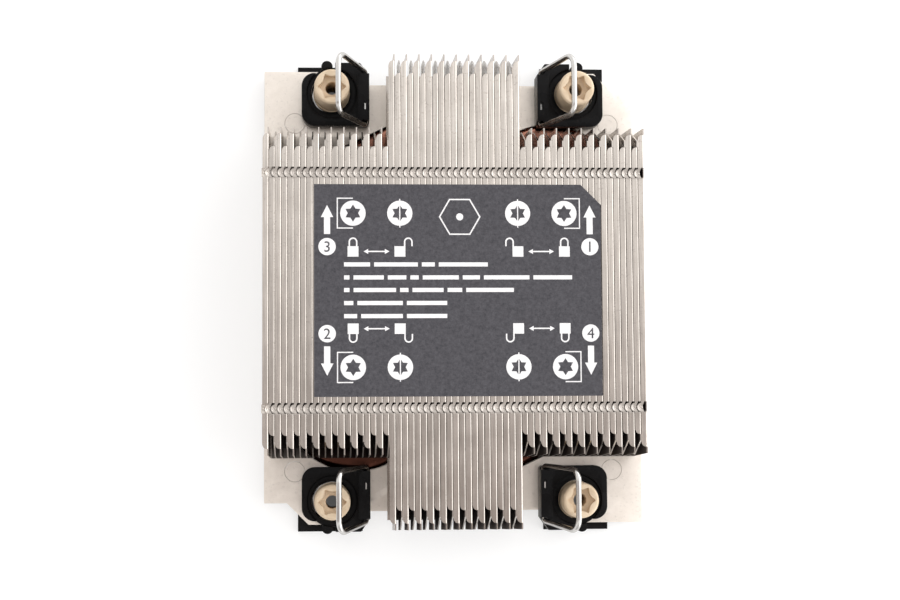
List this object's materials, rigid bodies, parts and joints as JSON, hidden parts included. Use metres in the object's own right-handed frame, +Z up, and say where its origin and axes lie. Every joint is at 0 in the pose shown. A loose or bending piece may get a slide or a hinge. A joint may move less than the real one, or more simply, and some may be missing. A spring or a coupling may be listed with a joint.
{
  "type": "passive server cpu heatsink",
  "caption": "Low finned heatsink for a server processor: a cross-shaped stack of zipper fins on a plate with flat heat pipes, captive nuts and swinging anti-tilt wires at its corners.",
  "frame": {"origin": "centre of the contact face, which is also midway between the four nuts", "axes": "+Z up out of the contact face through the fins, +Y along the fins and the air flow, +X across the fins"},
  "size_m": [0.0936, 0.1166, 0.0251],
  "materials": {
    "nickel_plate": "satin plated plate",
    "fin_nickel": "satin plated sheet",
    "copper": "bare copper, dulled",
    "label_print": "matt dark film with white print",
    "black_plastic": "moulded, slight sheen",
    "beige_plastic": "moulded engineering plastic",
    "steel": "drawn wire and stamped rings"
  },
  "bodies": {
    "heatsink": {"base_plate": "nickel_plate", "plate_plugs": "nickel_plate", "heat_pipe_left": "copper", "heat_pipe_right": "copper", "left_wing_long_fins": "fin_nickel", "left_wing_short_fins": "fin_nickel", "centre_long_fins": "fin_nickel", "centre_short_fins": "fin_nickel", "right_wing_short_fins": "fin_nickel", "right_wing_long_fins": "fin_nickel", "instruction_label": "label_print", "carrier_back_left": "black_plastic", "nut_washer_back_left": "steel", "carrier_back_right": "black_plastic", "nut_washer_back_right": "steel", "carrier_front_left": "black_plastic", "nut_washer_front_left": "steel", "carrier_front_right": "black_plastic", "nut_washer_front_right": "steel"},
    "wire_back_left": {"anti_tilt_wire_back_left": "steel"},
    "wire_back_right": {"anti_tilt_wire_back_right": "steel"},
    "wire_front_left": {"anti_tilt_wire_front_left": "steel"},
    "wire_front_right": {"anti_tilt_wire_front_right": "steel"},
    "nut_back_left_turning": {"nut_back_left": "beige_plastic", "retaining_ring_back_left": "steel"},
    "nut_back_right_turning": {"nut_back_right": "beige_plastic", "retaining_ring_back_right": "steel"},
    "nut_front_left_turning": {"nut_front_left": "beige_plastic", "retaining_ring_front_left": "steel"},
    "nut_front_right_turning": {"nut_front_right": "beige_plastic", "retaining_ring_front_right": "steel"}
  },
  "joints": [
    {"name": "wire_back_left_swing", "type": "hinge", "parent": "heatsink", "child": "wire_back_left", "pos_m": [-0.0218, 0.05035, 0.01], "axis": [0, -1, 0], "range_deg": [0, 64]},
    {"name": "wire_back_right_swing", "type": "hinge", "parent": "heatsink", "child": "wire_back_right", "pos_m": [0.0218, 0.05035, 0.01], "axis": [0, 1, 0], "range_deg": [0, 64]},
    {"name": "wire_front_left_swing", "type": "hinge", "parent": "heatsink", "child": "wire_front_left", "pos_m": [-0.0218, -0.05035, 0.01], "axis": [0, -1, 0], "range_deg": [0, 64]},
    {"name": "wire_front_right_swing", "type": "hinge", "parent": "heatsink", "child": "wire_front_right", "pos_m": [0.0218, -0.05035, 0.01], "axis": [0, 1, 0], "range_deg": [0, 64]},
    {"name": "nut_back_left_spin", "type": "hinge", "parent": "heatsink", "child": "nut_back_left_turning", "pos_m": [-0.03, 0.05035, 0.01], "axis": [0, 0, 1], "continuous": true},
    {"name": "nut_back_right_spin", "type": "hinge", "parent": "heatsink", "child": "nut_back_right_turning", "pos_m": [0.03, 0.05035, 0.01], "axis": [0, 0, 1], "continuous": true},
    {"name": "nut_front_left_spin", "type": "hinge", "parent": "heatsink", "child": "nut_front_left_turning", "pos_m": [-0.03, -0.05035, 0.01], "axis": [0, 0, 1], "continuous": true},
    {"name": "nut_front_right_spin", "type": "hinge", "parent": "heatsink", "child": "nut_front_right_turning", "pos_m": [0.03, -0.05035, 0.01], "axis": [0, 0, 1], "continuous": true}
  ]
}
